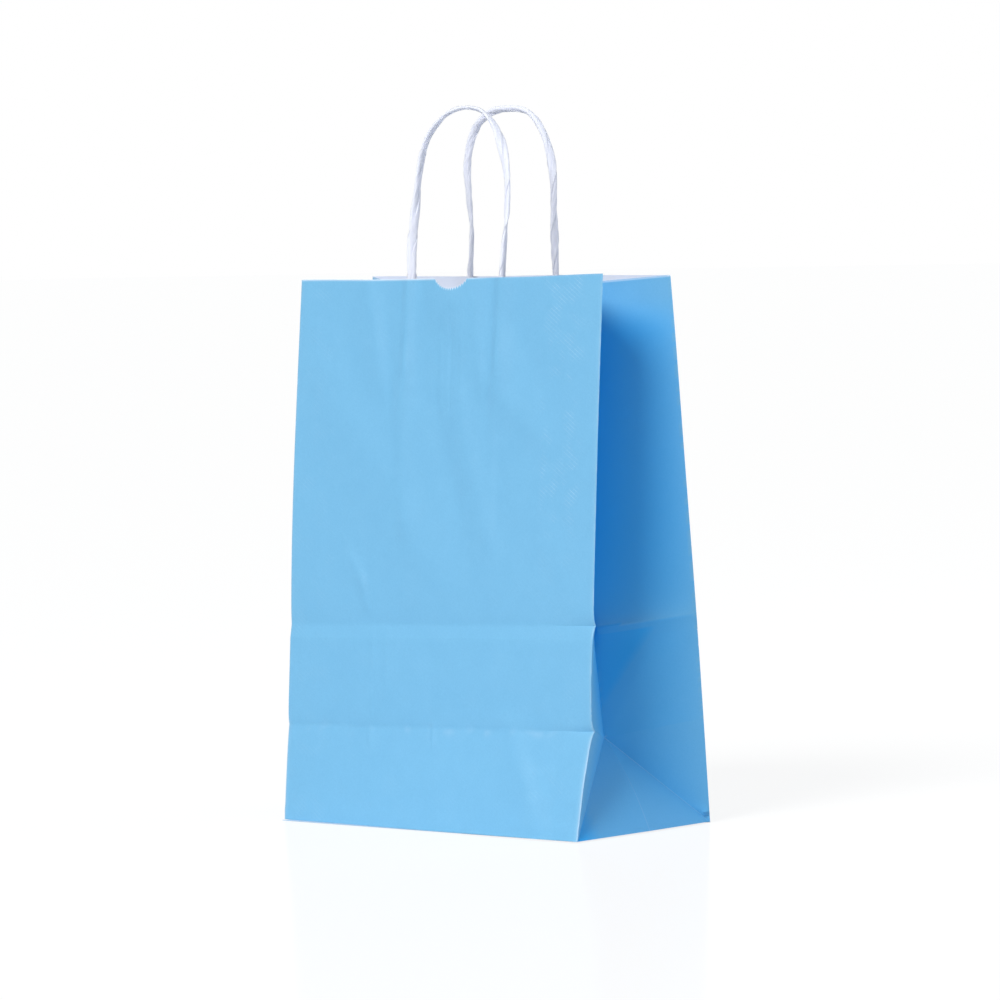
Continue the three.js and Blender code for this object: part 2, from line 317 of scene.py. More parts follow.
def back_point(x, up):
    """A point of the back panel's outer face."""
    share = (x + HALF_WIDTH) / (2 * HALF_WIDTH)
    y = mix(curve_through(BACK_LEFT, up), curve_through(BACK_RIGHT, up), share)
    rim = mix(*BACK_RIM_ENDS, share) + 0.15 * math.sin(x / 14)
    inside = inside_panel(x)
    y += inside * fold_relief(x, up, BACK_FOLDS)
    y += inside * 0.5 * wrinkle(x, up, 36, 11.3)
    return Vector((x, y, mix(BASE_LIFT, rim, up / HEIGHT)))


# The gussets: each half is as wide as half the base is deep, so closing the mouth to about half
# the base's depth drives the centre crease far into the bag, and down by RIM_DROP at the rim.
# The vertex is where the sunken crease meets the diagonal ones from the corners of the base.
GUSSET_VERTEX = 34.6
RIM_DROP = 4.3

# The fold that the bottom's edge pressed across the rear half: how far it stands out, and how
# far it reaches above and below. The crest is the soft fold beside the sunken crease.
RIDGE_HEIGHT = 3.1
RIDGE_REACH_ABOVE = 5
RIDGE_REACH_BELOW = 7
CREST_HEIGHT = 1.8


def gusset_point(side, up):
    """A point of the sunken centre crease."""
    front = curve_through(FRONT_RIGHT if side > 0 else FRONT_LEFT, up)
    back = curve_through(BACK_RIGHT if side > 0 else BACK_LEFT, up)
    half_opening = (back - front) / 2
    reach = math.sqrt(HALF_DEPTH ** 2 - half_opening ** 2)
    rise = (up - LOWER_CREASE) / (HEIGHT - LOWER_CREASE)
    drop = mix(LOWER_CREASE - GUSSET_VERTEX, RIM_DROP, rise)
    return Vector((side * (HALF_WIDTH - reach), (front + back) / 2, up - drop))


def front_edge(side, up):
    return front_point(side * HALF_WIDTH, up)


def back_edge(side, up):
    return back_point(side * HALF_WIDTH, up)


def base_middle(side):
    """The foot of the tube's own side crease, which stands out a little from the base."""
    return Vector((side * (HALF_WIDTH + 0.5), 1.4, BASE_LIFT))


def ridge_height(share):
    """Where the block bottom's second fold crosses the rear half of a gusset."""
    return mix(81.2, 80, share)


def wedge_limit(up):
    """Where the soft fold beside the sunken crease runs, as a share of the rear half."""
    return 0.05 + 0.47 * (up - 42) / 24


def rear_half(side, share, up):
    """The rear half of a gusset, from the sunken crease to the rear fold."""
    point = gusset_point(side, up).lerp(back_edge(side, up), share)
    bulge = math.sin(math.pi * share)
    level = up - ridge_height(share)
    reach = RIDGE_REACH_ABOVE if level > 0 else RIDGE_REACH_BELOW
    ridge = math.exp(-abs(level) / reach) * (1 - 0.4 * share) * RIDGE_HEIGHT
    limit = wedge_limit(up)
    crest = 0
    if limit > 0.02:
        fade = smoothstep((up - LOWER_CREASE) / 5) * smoothstep((76 - up) / 12)
        crest = CREST_HEIGHT * limit * fade * max(0, 1 - abs(share / limit - 0.9) / 0.9)
    soft = 0.5 * bulge * wrinkle(share * 40, up, 30, 21.5 + side) * smoothstep((up - LOWER_CREASE) / 16)
    out = Vector((side * 0.5, -0.86, 0))
    return point + out * (ridge * max(bulge, 0) ** 0.4 + crest + soft)


def front_half(side, share, up):
    """The front half of a gusset, from the front fold to the sunken crease."""
    point = front_edge(side, up).lerp(gusset_point(side, up), share)
    bulge = math.sin(math.pi * share)
    soft = wrinkle(share * 40, up, 30, 33.5 + side) * smoothstep((up - LOWER_CREASE) / 16)
    out = Vector((side * 0.5, 0.86, 0))
    return point + out * 0.5 * bulge * soft


def end_line(side, start, up):
    """A crease from the foot of the bag to the gusset's vertex."""
    return start.lerp(gusset_point(side, LOWER_CREASE), up / LOWER_CREASE)


def end_crease(side, up):
    """The tube's own side crease, which runs on down the end triangle and bows out a little."""
    share = up / LOWER_CREASE
    line = end_line(side, base_middle(side), up)
    return line + Vector((side * 1.9, -0.3, 0.6)) * math.sin(math.pi * share)


def rear_end(side, share, up):
    """The rear end facet, crumpled where its lowest corner was knocked."""
    line = end_line(side, back_edge(side, 0), up).lerp(back_edge(side, up), share)
    bump = 1.3 * math.exp(-((up - 4.8) / 1.2) ** 2)
    dent = 0.8 * math.exp(-((up - 2.6) / 0.9) ** 2)
    crumple = (bump - dent) * 4 * share * (1 - share)
    return line + Vector((side, 0, 0)) * crumple


def add_panel(sheet, place, columns, rows, marks=None):
    """Adds a paper panel: a flat grid of cells, moved to place(column, row). marks holds a
    function of (column, row) for each mark that the material reads off the vertices."""
    marks = marks or {}
    layers = {name: sheet.verts.layers.float[name] for name in marks}
    made = bmesh.ops.create_grid(sheet, x_segments=len(columns) - 1, y_segments=len(rows) - 1, size=0.5)
    for vert in made["verts"]:
        column = columns[round((vert.co.x + 0.5) * (len(columns) - 1))]
        row = rows[round((vert.co.y + 0.5) * (len(rows) - 1))]
        vert.co = place(column, row) * MM
        for name, mark in marks.items():
            vert[layers[name]] = mark(column, row)


# How far below the rim the blade tore white fibre out of the ink
TORN_STRIP = 0.5


def cut_edge_mark(up):
    return 1 if up > HEIGHT - TORN_STRIP else 0


def front_wear_and_highlights(x, up):
    """Paler in patches along the upright folds, painted highlights in spots along the lower crease,
    and ink torn off along the rim, in the notch mostly between the teeth."""
    edge = math.exp(-(HALF_WIDTH - abs(x)) / 0.45)
    patchy = mix(0.4, 0.16, smoothstep((up - 30) / 20)) + 0.14 * wrinkle(up, x, 9, 61.7)
    # Painted highlights: white glints in spots just below the lower crease, where light catches it
    spots = max(0, wrinkle(x, up, 4.5, 71.3) - 0.1) * smoothstep((HALF_WIDTH - 6 - abs(x)) / 5)
    crease = 0.22 * math.exp(-abs(up - LOWER_CREASE + 1.2) / 1.1) * spots
    at_edge = up > HEIGHT - 0.1
    torn = mix(0.85, 0.15, smoothstep((x - 8) / 16)) * (1 if at_edge else 0.25)
    if abs(x - NOTCH_CENTRE) < NOTCH_HALF_WIDTH - 0.2:
        between_teeth = tooth_height(x) < 0.3
        torn = 0.3 + 0.7 * between_teeth if at_edge else 0.05 + 0.3 * between_teeth
    return max(cut_edge_mark(up) * torn, edge * patchy, crease)


# The band of knurl beside the right fold: its middle and half its width
KNURL_MIDDLE = 57.5
KNURL_HALF_BAND = 11


def knurl_strength(x, up):
    """The glueing rollers left their knurl in bands beside the upright folds, clearest high up
    on the right, and faintly all over."""
    band = smoothstep((KNURL_HALF_BAND - abs(x - KNURL_MIDDLE)) / 4)
    band *= mix(0.25, 1, smoothstep((up - 105) / 30))
    left = 0.25 * smoothstep((-50 - x) / 6)
    return max(band, left, 0.12)


def front_columns():
    """Columns close enough together for the rounded folds, the leg marks and the notch's teeth."""
    start = NOTCH_CENTRE - NOTCH_HALF_WIDTH
    end = NOTCH_CENTRE + NOTCH_HALF_WIDTH
    strip = HALF_WIDTH - FOLD_STRIP
    left = spaced(-HALF_WIDTH, -strip, 0.3) + [-strip]
    left += spaced(-HALF_WIDTH, -45, 2.2)[1:] + spaced(-45, -16, 0.8) + spaced(-16, start, 1.3)
    notch = spaced(start, end, TOOTH_PITCH / 4)
    right = spaced(end, 20, 1.3) + spaced(20, 34, 0.8) + spaced(34, HALF_WIDTH, 2.2)
    last = right.pop()
    right += spaced(last, strip, 1.4) + spaced(strip, HALF_WIDTH, 0.3)
    return left + notch + right + [HALF_WIDTH]


def low_rows():
    """Rows of the end of the bag below the lower crease."""
    return spaced(0, 32, 2.2) + spaced(32, LOWER_CREASE, 0.9) + [LOWER_CREASE]


def high_rows():
    """Rows from the lower crease to the rim."""
    band = UPPER_CREASE - CREASE_BAND
    rows = spaced(LOWER_CREASE, 48, 0.9) + spaced(48, band, 1.9) + spaced(band, UPPER_CREASE, 0.7)
    rows += spaced(UPPER_CREASE, 88, 0.9) + spaced(88, 160, 2.4) + spaced(160, 205, 1.7)
    return rows + spaced(205, HEIGHT - 0.9, 0.7) + [HEIGHT - 0.9, HEIGHT - 0.45, HEIGHT]


def between(first, second):
    """The flat facet between two lines, each a function of the height."""
    return lambda share, up: first(up).lerp(second(up), share)


def add_gusset(sheet, side):
    """The two sunken halves of one side and the folded end of the bottom below them."""
    shares = spaced(0, 1, 1 / 24) + [1]
    narrow = [0, 0.012] + spaced(0.1, 0.9, 0.1) + [0.9, 0.988, 1]

    def facet(place, columns, rows, painted_shade, wear_and_highlight):
        """Adds a facet that runs from the front to the rear, whichever side it is on."""
        if side > 0:
            add_panel(sheet, place, columns, rows, {"gusset_painted_shade": painted_shade, "worn_ink_and_highlight": wear_and_highlight})
            return
        marks = {"gusset_painted_shade": lambda share, up: painted_shade(1 - share, up),
                 "worn_ink_and_highlight": lambda share, up: wear_and_highlight(1 - share, up)}
        add_panel(sheet, lambda share, up: place(1 - share, up), columns, rows, marks)

    def deep(up):
        """Painted shade along the sunken crease, deeper higher up, for the dim light between two walls
        of the same blue.
        """
        return mix(0.72, 1, smoothstep((up - LOWER_CREASE) / 90))

    def rear_painted_shade(share, up):
        """Painted shade: deepest at the sunken crease and in its wedge, where the front panel's shadow
        falls, and paler at the rim and on the ridge, where more light falls.
        """
        below = ridge_height(share) - up
        in_wedge = smoothstep((wedge_limit(up) + 0.1 - share) / 0.4) * smoothstep(below / 3)
        at_rim = 1 - 0.7 * smoothstep((up - 188) / 16)
        lip = 1 - 0.45 * math.exp(below / 5) if below < 0 else 1
        return max(mix(0.3, 1, (1 - share) ** 0.6) * deep(up) * at_rim * lip, 0.88 * in_wedge)

    def front_end_painted_shade(share, up):
        """Painted shade: deepest in the narrow corner at the foot of the front fold."""
        corner = 1 - smoothstep(share / 0.6 + up / 30)
        return max(mix(0.4, 0.6, up / LOWER_CREASE), corner)

    def clean(share, up):
        """Ink whole but for the cut rim."""
        return 0.35 * cut_edge_mark(up)

    def pale_fold_lines(at_front, at_rear):
        """White along a facet's front and rear folds; on the end's diagonal and centre creases this is
        painted highlight.
        """
        return lambda share, up: max(at_front * (share < 0.01), at_rear * (share > 0.99))

    def fold_front(up):
        return front_edge(side, up)

    def line_front(up):
        return end_line(side, front_edge(side, 0), up)

    def line_rear(up):
        return end_line(side, back_edge(side, 0), up)

    def middle(up):
        return end_crease(side, up)

    # Each facet gets painted shade, as deeper ink where less light reaches, and white along its folds
    facet(lambda share, up: front_half(side, share, up), shares, high_rows(),
          lambda share, up: mix(0.2, 1, share) * deep(up), clean)
    facet(lambda share, up: rear_half(side, share, up), shares, high_rows(),
          rear_painted_shade, clean)
    facet(between(fold_front, line_front), narrow, low_rows(),
          lambda share, up: mix(0.12, mix(0.4, 0.6, up / LOWER_CREASE), share), pale_fold_lines(0.3, 0.12))
    facet(between(line_front, middle), narrow, low_rows(),
          front_end_painted_shade, pale_fold_lines(0.12, 0.08))
    facet(between(middle, line_rear), narrow, low_rows(),
          lambda share, up: mix(0.4, 0.6, up / LOWER_CREASE), pale_fold_lines(0.08, 0.2))
    facet(lambda share, up: rear_end(side, share, up), narrow, low_rows(),
          lambda share, up: mix(0.25, mix(0.4, 0.75, up / LOWER_CREASE), 1 - share), pale_fold_lines(0.2, 0))


def fold_sheet():
    """The outer face of the whole folded sheet, open at the mouth, as a bmesh."""
    sheet = bmesh.new()
    for name in ("gusset_painted_shade", "worn_ink_and_highlight", "knurl"):
        sheet.verts.layers.float.new(name)
    rows = low_rows()[:-1] + high_rows()
    back_columns = spaced(-HALF_WIDTH, -48, 2.2) + spaced(-48, 48, 1)
    back_columns += spaced(48, HALF_WIDTH, 2.2) + [HALF_WIDTH]
    add_panel(sheet, front_point, front_columns(), rows,
              {"worn_ink_and_highlight": front_wear_and_highlights, "knurl": knurl_strength})
    add_panel(sheet, lambda x, up: back_point(-x, up), back_columns, rows,
              {"worn_ink_and_highlight": lambda x, up: cut_edge_mark(up)})
    add_gusset(sheet, 1)
    add_gusset(sheet, -1)
    bmesh.ops.remove_doubles(sheet, verts=sheet.verts, dist=0.02 * MM)
    return sheet


def mark_folds(mesh, angle):
    """Marks the edges sharper than angle, so that folds and cut edges stay crisp."""
    work = bmesh.new()
    work.from_mesh(mesh)
    for face in work.faces:
        face.smooth = True
    for edge in work.edges:
        edge.smooth = not (edge.is_manifold and edge.calc_face_angle() > angle)
    work.to_mesh(mesh)
    work.free()


def new_piece(name, work, materials):
    mesh = bpy.data.meshes.new(name)
    work.to_mesh(mesh)
    work.free()
    piece = bpy.data.objects.new(name, mesh)
    bpy.context.scene.collection.objects.link(piece)
    for material in materials:
        mesh.materials.append(material)
    return piece


def bake_modifiers(piece):
    """Applies the piece's modifiers to its mesh."""
    shape = piece.evaluated_get(bpy.context.evaluated_depsgraph_get())
    mesh = bpy.data.meshes.new_from_object(shape)
    old = piece.data
    piece.modifiers.clear()
    piece.data = mesh
    bpy.data.meshes.remove(old)
    mesh.name = piece.name


def thicken(piece, thickness):
    """Gives a sheet its thickness behind its face. Slot 1 is the back and slot 2 the cut edge."""
    wall = piece.modifiers.new("paper", "SOLIDIFY")
    wall.thickness = thickness * MM
    wall.offset = -1
    wall.use_even_offset = True
    wall.material_offset = 1
    wall.material_offset_rim = 2
    bake_modifiers(piece)


# The two long flaps glued under the base: how far each stays inside the base's outline, how far
# it reaches past the middle, and how high the lower face of each lies above the table
FLAP_INSET = 0.4
FLAP_REACH = 7.5
REAR_FLAP_FLOOR = 0.02
FRONT_FLAP_FLOOR = 0.22


def add_flap(sheet, side, floor):
    """A bottom flap, whose ends run in at 45 degrees along the diagonal folds. Its printed
    face looks down."""
    edge = HALF_DEPTH - FLAP_INSET
    across = HALF_WIDTH - 2 * FLAP_INSET
    tip = across - edge - FLAP_REACH
    corners = [(-across, edge), (across, edge), (tip, -FLAP_REACH), (-tip, -FLAP_REACH)]
    verts = [sheet.verts.new(Vector((side * x, side * y, floor)) * MM) for x, y in corners]
    sheet.faces.new(verts)


def close_base(sheet):
    """Closes the bottom with the layer of the folded ends, and lays the two flaps under it."""
    base_edges = [edge for edge in sheet.edges if edge.is_boundary
                  and all(vert.co.z < (BASE_LIFT + 0.01) * MM for vert in edge.verts)]
    bmesh.ops.holes_fill(sheet, edges=base_edges)
    add_flap(sheet, 1, REAR_FLAP_FLOOR)
    add_flap(sheet, -1, FRONT_FLAP_FLOOR)


def ink_folded_edges(mesh):
    """The flaps' diagonal ends are folds, so they show ink, and only the glued edge is cut."""
    for polygon in mesh.polygons:
        low = polygon.center.z < BASE_LIFT * MM
        cut = abs(polygon.normal.y) > 0.9 and abs(polygon.center.y) < 10 * MM
        if polygon.material_index == 2 and low and not cut:
            polygon.material_index = 0


def make_bag_body(materials):
    sheet = fold_sheet()
    close_base(sheet)
    bag = new_piece("paper_bag", sheet, materials)
    thicken(bag, PAPER)
    ink_folded_edges(bag.data)
    mark_folds(bag.data, math.radians(24))
    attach(bag, BODY)
    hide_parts("bag_body")


# The mouth's two leaning planes, in which the handle loops stand, as (distance of the rim from
# the middle of the bag, direction up the plane, direction into the bag)
FRONT_MOUTH = (-20.5, Vector((0, 0.0698, 0.9976)), Vector((0, 0.9976, -0.0698)))
BACK_MOUTH = (20.5, Vector((0, -0.0925, 0.9957)), Vector((0, -0.9957, -0.0925)))

# How far the cord's middle lies inside the plane, how long its legs are below the rim, and how
# far apart its sections are
CORD_DEPTH = 2.3
LEG_INSIDE = 44
CORD_STEP = 0.4

# Each loop as (distance across the bag, distance up the mouth's plane above the rim)
FRONT_LOOP = [(-20.4, 0), (-20.6, 11), (-19.3, 26), (-17.4, 42), (-13.7, 53), (-5.3, 61), (4.7, 63.6),
              (14.1, 61.3), (21.4, 53), (25.9, 39), (26.6, 25), (25.5, 9), (25, 0)]
BACK_LOOP = [(-22.2, 0), (-20.8, 9), (-19.6, 19), (-19.7, 31), (-19, 44), (-13.6, 56.3), (-5.5, 62.3),
             (4.6, 63.5), (14.4, 61.4), (20.9, 52.3), (23.4, 38.4), (22.2, 22), (20.9, 0)]

# How the rolled cord was squashed, as (distance along the loop from its left leg's rim, turn of
# the flat section in degrees, its width, its thickness)
FRONT_SQUASH = [(-44, 0, 3.4, 1.7), (0, 25, 3.4, 1.6), (14, 40, 3.4, 1.5), (24, 52, 3.3, 1.5),
                (29, 83, 3.3, 1.5), (34, 96, 3.3, 1.5), (46, 97, 3.4, 1.5), (57, 99, 3.3, 1.5),
                (66, 101, 3.3, 1.4), (75, 92, 3.4, 1.3), (85, 72, 3.4, 1.2), (93, 90, 3.5, 1.4),
                (99, 123, 3.6, 1.6), (104, 161, 3.5, 1.6), (110, 197, 3.4, 1.5), (118, 205, 3.3, 1.5),
                (128, 213, 3.2, 1.4), (131.5, 230, 3.6, 0.9), (134, 238, 3.4, 1.2),
                (139, 254, 3.2, 1.5), (150, 258, 3.2, 1.5), (194, 270, 3.3, 1.7)]
BACK_SQUASH = [(-44, 60, 3.0, 1.7), (0, 105, 2.8, 1.6), (14, 122, 2.8, 1.35), (20, 130, 2.9, 1.2),
               (26, 142, 2.9, 1.6), (32, 165, 2.8, 1.7), (57, 214, 2.8, 1.9), (72, 225, 2.9, 1.9),
               (88, 246, 2.9, 1.7), (99, 280, 2.8, 1.8), (111, 320, 2.9, 1.8), (117, 365, 2.8, 1.9),
               (124, 410, 2.7, 2.0), (141, 500, 2.8, 1.9), (154, 590, 2.8, 1.8), (198, 640, 3.0, 1.8)]

# The paper is rolled so that its edges run round the cord once in WRAP_PITCH. At WRAP_RUN along
# the loop the first edge stands at WRAP_TURN degrees. Each edge has the height of its step and
# the number of columns from there to the other one.
WRAP_PITCH = 29
WRAP_RUN = 22
WRAP_TURN = 130.5
FIRST_EDGE = (0.34, 24)
SECOND_EDGE = (0.24, 24)

# The power of the section's superellipse, a little squarer than an ellipse
SECTION_POWER = 2.4


def loop_stations(loop):
    """The loop with its legs as two lists, of (distance along, across) and (distance along, up)."""
    (first, _), (last, _) = loop[0], loop[-1]
    points = [(first, -LEG_INSIDE), (first, -LEG_INSIDE / 2)] + loop
    points += [(last, -LEG_INSIDE / 2), (last, -LEG_INSIDE)]
    run = -LEG_INSIDE
    across, up = [], []
    previous = points[0]
    for point in points:
        run += math.dist(previous, point)
        across.append((run, point[0]))
        up.append((run, point[1]))
        previous = point
    return across, up


def wrap_columns():
    """The section's columns as (share of the way round, lift off the section). The paper's two
    wrapped edges stand up as steps, each beside a narrow crevice."""
    columns = []
    for start, (step, count) in ((0, FIRST_EDGE), (0.5, SECOND_EDGE)):
        for i in range(count + 1):
            share = i / count
            crevice = 0.14 * math.exp(-(1 - share) * 9)
            columns.append((start + share / 2, step * (1 - share) - crevice))
    return columns + [(1, columns[0][1])]


def cord_surface(mouth, loop, squash, seed):
    """Returns place(column, run), a point of the cord's skin."""
    edge, up_plane, into = mouth
    across, up = loop_stations(loop)
    out = -into
    turns = [(run, turn) for run, turn, _, _ in squash]
    widths = [(run, width) for run, _, width, _ in squash]
    depths = [(run, depth) for run, _, _, depth in squash]
    origin = Vector((0, edge, HEIGHT)) + into * CORD_DEPTH

    def centre(run):
        sideways = Vector((1, 0, 0)) * curve_through(across, run)
        return origin + sideways + up_plane * curve_through(up, run)

    def place(column, run):
        share, lift = column
        along = (centre(run + 0.5) - centre(run - 0.5)).normalized()
        side = out.cross(along)
        angle = math.radians(WRAP_TURN) + 2 * math.pi * ((run - WRAP_RUN) / WRAP_PITCH + share)
        flat = angle - math.radians(curve_through(turns, run))
        wide = abs(math.cos(flat) / (curve_through(widths, run) / 2)) ** SECTION_POWER
        deep = abs(math.sin(flat) / (curve_through(depths, run) / 2)) ** SECTION_POWER
        radius = (wide + deep) ** (-1 / SECTION_POWER)

        # Streaks along the rolled paper, and nicks pressed into it
        arc = Vector((math.cos(2 * math.pi * share), math.sin(2 * math.pi * share)))
        streak = noise.noise(Vector((arc.x * 1.9, arc.y * 1.9, run / 9 + seed)))
        nick = noise.noise(Vector((arc.x * 1.1, arc.y * 1.1, run / 2.4 + seed + 40)))
        radius += lift * 0.85 + 0.14 * streak - 0.3 * max(nick - 0.42, 0)
        return centre(run) + side * radius * math.cos(angle) + out * radius * math.sin(angle)

    return place, across[-1][0]


def make_handle(name, mouth, loop, squash, seed, material):
    work = bmesh.new()
    place, end = cord_surface(mouth, loop, squash, seed)
    runs = spaced(-LEG_INSIDE, end, CORD_STEP) + [end]
    add_panel(work, place, wrap_columns(), runs)
    bmesh.ops.remove_doubles(work, verts=work.verts, dist=0.002 * MM)
    bmesh.ops.holes_fill(work, edges=[edge for edge in work.edges if edge.is_boundary])
    cord = new_piece(name + "_cord", work, [material])
    mark_folds(cord.data, math.radians(38))
    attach(cord, BODY)
    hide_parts(name)


# The glued strips: one between the panel and the cord's legs, and one over the legs, each with
# its gap to the panel's inner face
PATCH_HALF_WIDTH = 40
PATCH_TOP = 205
PATCH_BOTTOM = 163
PATCH_PAPER = 0.15
OUTER_GAP = 0.08
INNER_GAP = 0.35

# How far the inner strip rises over a leg, and half the width over which it does
LEG_COVER = 5
COVER_HALF_WIDTH = 4.8


def leg_cover(x, legs):
    """How far the inner strip has risen over the nearer of the two legs at x, from 0 to 1."""
    off = min(abs(x - leg) for leg in legs)
    share = min(off / COVER_HALF_WIDTH, 1)
    return (0.5 + 0.5 * math.cos(math.pi * share)) ** 0.6


def make_patches(side_name, panel_point, folds, mouth, loop, material):
    legs = (loop[0][0], loop[-1][0])
    centre = (legs[0] + legs[1]) / 2
    into = mouth[2]
    columns = spaced(centre - PATCH_HALF_WIDTH, centre + PATCH_HALF_WIDTH, 0.8)
    columns.append(centre + PATCH_HALF_WIDTH)
    rows = spaced(PATCH_BOTTOM, PATCH_TOP, 1.5) + [PATCH_TOP]

    def outer_depth(x, up):
        return PAPER + OUTER_GAP

    def inner_depth(x, up):
        rise = LEG_COVER + max(0, fold_relief(x, up, folds))
        return PAPER + INNER_GAP + leg_cover(x, legs) * rise

    for layer, depth in (("outer", outer_depth), ("inner", inner_depth)):
        name = f"{side_name}_{layer}_patch"
        work = bmesh.new()
        add_panel(work, lambda x, up: panel_point(x, up) + into * depth(x, up), columns, rows)
        strip = new_piece(name + "_strip", work, [material])
        wall = strip.modifiers.new("paper", "SOLIDIFY")
        wall.thickness = PATCH_PAPER * MM
        wall.offset = 1 if into.y < 0 else -1
        bake_modifiers(strip)
        mark_folds(strip.data, math.radians(40))
        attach(strip, BODY)
        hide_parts(name)


# Materials: the ink's two tones, a deeper blue that is painted shade in the gussets, and bare fibre,
# also used as painted highlight
INK_SHADE = "#6fafd5"
INK_LIGHT = "#75b5da"
INK_PAINTED_SHADE = "#00a3ee"
BARE_FIBRE_AND_HIGHLIGHT = "#e8f2fb"

# The scales of the noise patterns, as features in a metre. The grain's clumps of fibres are 0.7
# and 0.8 mm across, drawn coarser than the fibres. The print's clouds and the patches in which
# the knurl comes and goes are 7 mm across.
PRINT_GRAIN = 1500
WHITE_GRAIN = 1200
PRINT_CLOUD = 140
KNURL_PATCH = 150

# The wave scale at which the knurl's lines lie their real 1.7 mm apart. A diagonal wave of scale
# 1 repeats every 0.63 m.
KNURL_WAVE = 370

# How steeply the two families of the knurl's lines slant
KNURL_LEAN = 0.71

# The height of the paper's finest relief, in metres
GRAIN_HEIGHT = 0.0001


def linear(hex_colour):
    """An sRGB hex colour as linear RGBA."""
    channels = [int(hex_colour[i:i + 2], 16) / 255 for i in (1, 3, 5)]
    return [c / 12.92 if c <= 0.04045 else ((c + 0.055) / 1.055) ** 2.4 for c in channels] + [1]


def add_node(tree, kind, settings=None, **inputs):
    """Adds a node with its settings, and sets or links its inputs. An input goes by its name,
    with _ for a space, or by its number, as in i0."""
    node = tree.nodes.new(kind)
    for name, value in (settings or {}).items():
        setattr(node, name, value)
    for name, value in inputs.items():
        if name[0] == "i" and name[1:].isdigit():
            socket = node.inputs[int(name[1:])]
        else:
            socket = node.inputs[name.replace("_", " ")]
        if isinstance(value, bpy.types.NodeSocket):
            tree.links.new(value, socket)
        else:
            socket.default_value = value
    return node


def new_material(name):
    material = bpy.data.materials.new(name)
    material.use_nodes = True
    material.node_tree.nodes.clear()
    return material, material.node_tree


def finish_material(tree, shader):
    output = tree.nodes.new("ShaderNodeOutputMaterial")
    tree.links.new(shader.outputs[0], output.inputs["Surface"])


def knurl_lines(tree, place, lean):
    """One family of the roller's slanting lines, as sharp ridges."""
    parts = add_node(tree, "ShaderNodeSeparateXYZ", Vector=place)
    across = add_node(tree, "ShaderNodeMath", {"operation": "MULTIPLY"},
                      i0=parts.outputs["X"], i1=lean)
    slanted = add_node(tree, "ShaderNodeCombineXYZ", X=across.outputs[0], Z=parts.outputs["Z"])
    wave = add_node(tree, "ShaderNodeTexWave", {"bands_direction": "DIAGONAL"},
                    Vector=slanted.outputs[0], Scale=KNURL_WAVE, Distortion=0)
    sharp = add_node(tree, "ShaderNodeMath", {"operation": "POWER"}, i0=wave.outputs["Fac"], i1=12)
    return sharp.outputs[0]


def printed_kraft():
    """Bleached kraft paper printed light blue: a satin ink film over a slightly mottled sheet,
    with the knurl that the glueing rollers pressed into it and white fibre where the ink is gone.
    The ink is drawn deeper blue as painted shade in the gussets, and white as painted highlight
    along some creases."""
    material, tree = new_material("printed_kraft_paper")
    place = add_node(tree, "ShaderNodeTexCoord").outputs["Object"]
    grain = add_node(tree, "ShaderNodeTexNoise", Vector=place, Scale=PRINT_GRAIN, Detail=3,
                     Roughness=0.65)
    cloud = add_node(tree, "ShaderNodeTexNoise", Vector=place, Scale=PRINT_CLOUD, Detail=4,
                     Roughness=0.6)
    mottle = add_node(tree, "ShaderNodeMix", {"data_type": "FLOAT"}, i0=0.3,
                      i2=grain.outputs["Fac"], i3=cloud.outputs["Fac"])
    tint = add_node(tree, "ShaderNodeMapRange", Value=mottle.outputs[0], From_Min=0.35,
                    From_Max=0.65)
    ink = add_node(tree, "ShaderNodeMix", {"data_type": "RGBA"}, i0=tint.outputs[0],
                   i6=linear(INK_SHADE), i7=linear(INK_LIGHT))
    # Painted shade: in the gussets the ink turns a deeper blue, as far as the vertex mark says
    painted_shade = add_node(tree, "ShaderNodeAttribute", {"attribute_name": "gusset_painted_shade"}).outputs["Fac"]
    deep = add_node(tree, "ShaderNodeMix", {"data_type": "RGBA"}, i0=painted_shade,
                    i6=ink.outputs[2], i7=linear(INK_PAINTED_SHADE))

    first = knurl_lines(tree, place, KNURL_LEAN)
    second = knurl_lines(tree, place, -KNURL_LEAN)
    both = add_node(tree, "ShaderNodeMath", {"operation": "MULTIPLY_ADD"},
                    i0=second, i1=0.3, i2=first)
    patch = add_node(tree, "ShaderNodeTexNoise", Vector=place, Scale=KNURL_PATCH, Detail=3)
    patchy = add_node(tree, "ShaderNodeMapRange", Value=patch.outputs["Fac"], From_Min=0.47,
                      From_Max=0.75)
    band = add_node(tree, "ShaderNodeAttribute", {"attribute_name": "knurl"}).outputs["Fac"]
    pressed = add_node(tree, "ShaderNodeMath", {"operation": "MULTIPLY"}, i0=both.outputs[0],
                       i1=patchy.outputs[0])
    knurl = add_node(tree, "ShaderNodeMath", {"operation": "MULTIPLY"}, i0=pressed.outputs[0], i1=band)
    thinned = add_node(tree, "ShaderNodeMath", {"operation": "MULTIPLY"}, i0=knurl.outputs[0], i1=0.26)
    # White fibre where the ink is torn or worn, and painted highlights along the creases
    wear_and_highlight = add_node(tree, "ShaderNodeAttribute", {"attribute_name": "worn_ink_and_highlight"}).outputs["Fac"]
    bare = add_node(tree, "ShaderNodeMath", {"operation": "MAXIMUM"}, i0=wear_and_highlight, i1=thinned.outputs[0])
    colour = add_node(tree, "ShaderNodeMix", {"data_type": "RGBA"}, i0=bare.outputs[0],
                      i6=deep.outputs[2], i7=linear(BARE_FIBRE_AND_HIGHLIGHT))

    relief = add_node(tree, "ShaderNodeMath", {"operation": "MULTIPLY_ADD"}, i0=knurl.outputs[0],
                      i1=0.6, i2=grain.outputs["Fac"])
    bump = add_node(tree, "ShaderNodeBump", Strength=0.2, Distance=GRAIN_HEIGHT,
                    Height=relief.outputs[0])
    shader = add_node(tree, "ShaderNodeBsdfPrincipled", Base_Color=colour.outputs[2],
                      Roughness=0.55, IOR=1.37, Normal=bump.outputs[0], Coat_Weight=0.1,
                      Coat_Roughness=0.45)
    finish_material(tree, shader)
    return material


